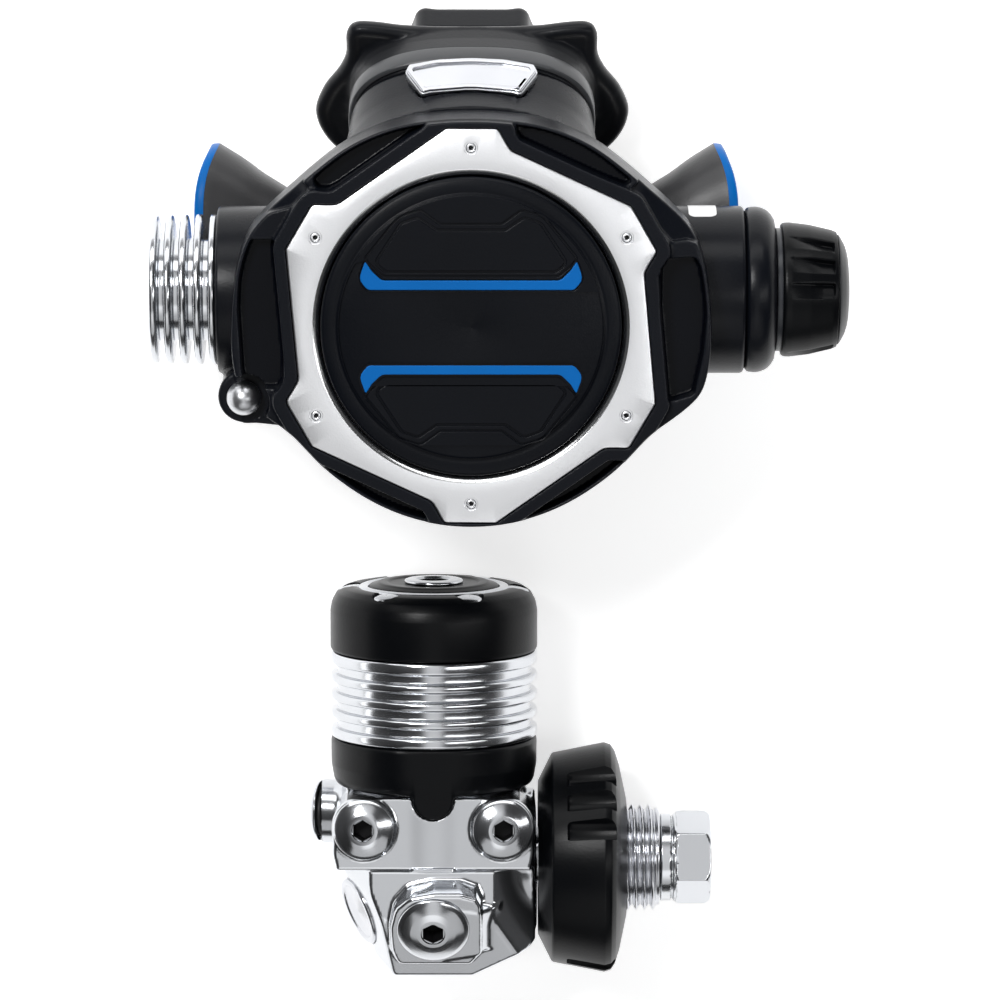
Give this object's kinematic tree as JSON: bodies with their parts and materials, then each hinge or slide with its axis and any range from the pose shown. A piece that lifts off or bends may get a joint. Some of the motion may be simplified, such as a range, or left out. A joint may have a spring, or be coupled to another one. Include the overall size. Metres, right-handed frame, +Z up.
{
  "type": "scuba regulator set",
  "caption": "Scuba regulator set laid flat: a first stage with a threaded DIN handwheel connector, and a second stage with a purge cover, finned inlet, knob, mouthpiece and exhaust tee.",
  "frame": {"origin": "centre of the set's footprint, on the surface it lies on", "axes": "+Z up from the surface, +Y from the first stage towards the second stage's mouthpiece, +X towards the handwheel and the adjusting knob"},
  "size_m": [0.146, 0.2078, 0.0715],
  "materials": {
    "black_plastic": "satin moulded",
    "black_elastomer": "smooth satin",
    "satin_metal": "satin bead-blasted",
    "blue_gloss": "gloss",
    "blue_elastomer": "smooth satin",
    "spring_steel": "bright drawn",
    "clear_silicone": "smooth",
    "brass": "machined",
    "sintered_bronze": "porous",
    "white_plastic": "moulded",
    "white_mark": "printed block",
    "seal_rubber": "smooth",
    "chrome": "polished",
    "black_silicone": "satin",
    "dark_grey_plastic": "satin",
    "dark_grey_rubber": "satin"
  },
  "bodies": {
    "first_stage": {"first_stage_body": "chrome", "spring_housing": "chrome", "lower_sleeve": "black_elastomer", "top_bumper": "black_elastomer", "top_ring": "chrome", "ambient_seal": "seal_rubber", "adjusting_screw": "chrome", "main_spring": "spring_steel", "crown_orifice": "brass", "return_spring": "spring_steel", "low_port_plugs": "chrome", "high_port_plugs": "chrome", "port_plug_o_rings": "seal_rubber", "side_badge": "chrome", "din_connector": "chrome", "wheel_clip": "spring_steel", "din_o_ring": "seal_rubber", "inlet_filter": "sintered_bronze"},
    "handwheel": {"handwheel": "black_elastomer", "din_thread_sleeve": "chrome"},
    "valve_train": {"spring_pad": "brass", "inlet_diaphragm": "seal_rubber", "thrust_pin": "brass", "inlet_poppet": "white_plastic"},
    "second_stage": {"second_stage_case": "black_plastic", "front_bumper": "black_elastomer", "face_ring": "satin_metal", "face_ring_rivets": "satin_metal", "purge_spring": "spring_steel", "diaphragm_cover": "black_plastic", "diaphragm_membrane": "clear_silicone", "valve_barrel": "brass", "inlet_orifice": "brass", "poppet_spring": "spring_steel", "heat_exchanger": "chrome", "inlet_fitting": "chrome", "index_mark": "white_mark", "knob_ring": "black_plastic", "mouthpiece": "black_silicone", "mouthpiece_clamp": "dark_grey_plastic", "exhaust_tee": "dark_grey_rubber", "exhaust_tee_trims": "blue_elastomer", "exhaust_valve": "clear_silicone", "top_badge": "chrome", "cover_lock_pin": "chrome", "second_stage_o_rings": "seal_rubber"},
    "purge": {"purge_button": "black_plastic", "purge_stripes": "blue_gloss"},
    "diaphragm": {"diaphragm_plate": "spring_steel"},
    "lever": {"demand_lever": "spring_steel"},
    "poppet": {"demand_poppet": "white_plastic", "poppet_seat": "seal_rubber"},
    "knob": {"adjusting_knob": "black_plastic", "knob_end_cap": "black_plastic"},
    "adjuster": {"spring_adjuster": "brass", "adjuster_o_ring": "seal_rubber"},
    "vane": {"venturi_vane": "black_plastic"}
  },
  "joints": [
    {"name": "handwheel_spin", "type": "hinge", "parent": "first_stage", "child": "handwheel", "pos_m": [0.01576, -0.07905, 0.0249], "axis": [1, 0, 0], "continuous": true},
    {"name": "valve_train_slide", "type": "slide", "parent": "first_stage", "child": "valve_train", "axis": [0, 0.9989, -0.0474], "range_m": [0, 0.0006], "stiffness_N_per_m": 2000, "springref_m": -0.003, "deforming": ["main_spring", "return_spring"]},
    {"name": "second_stage_lift", "type": "slide", "parent": "first_stage", "child": "second_stage", "axis": [0, 0, 1], "range_m": [0, 0.12]},
    {"name": "purge_push", "type": "slide", "parent": "second_stage", "child": "purge", "axis": [0, 0, -1], "range_m": [0, 0.0035], "stiffness_N_per_m": 600, "springref_m": -0.004, "deforming": ["purge_spring"]},
    {"name": "diaphragm_slide", "type": "slide", "parent": "second_stage", "child": "diaphragm", "axis": [0, 0, -1], "range_m": [0, 0.0036], "deforming": ["diaphragm_membrane"]},
    {"name": "lever_swing", "type": "hinge", "parent": "second_stage", "child": "lever", "pos_m": [0.01607, 0.04713, 0.0474], "axis": [0, -1, 0], "range_deg": [0, 9.2]},
    {"name": "poppet_slide", "type": "slide", "parent": "second_stage", "child": "poppet", "axis": [1, 0, 0], "range_m": [0, 0.0008], "deforming": ["poppet_spring"]},
    {"name": "knob_turn", "type": "hinge", "parent": "second_stage", "child": "knob", "pos_m": [0.05407, 0.04713, 0.043], "axis": [1, 0, 0], "range_deg": [0, 270]},
    {"name": "adjuster_slide", "type": "slide", "parent": "knob", "child": "adjuster", "axis": [-1, 0, 0], "range_m": [0, 0.00076], "deforming": ["poppet_spring"]},
    {"name": "vane_swing", "type": "hinge", "parent": "second_stage", "child": "vane", "pos_m": [0.02047, 0.04713, 0.043], "axis": [-1, 0, 0], "range_deg": [0, 54.5]}
  ],
  "couplings": [
    {"joint": "diaphragm_slide", "follows": "purge_push", "ratio": 1},
    {"joint": "lever_swing", "follows": "purge_push", "rad_per_m": 45},
    {"joint": "poppet_slide", "follows": "purge_push", "ratio": 0.2},
    {"joint": "adjuster_slide", "follows": "knob_turn", "m_per_rad": 0.00015915},
    {"joint": "vane_swing", "follows": "knob_turn", "ratio": 0.2}
  ]
}
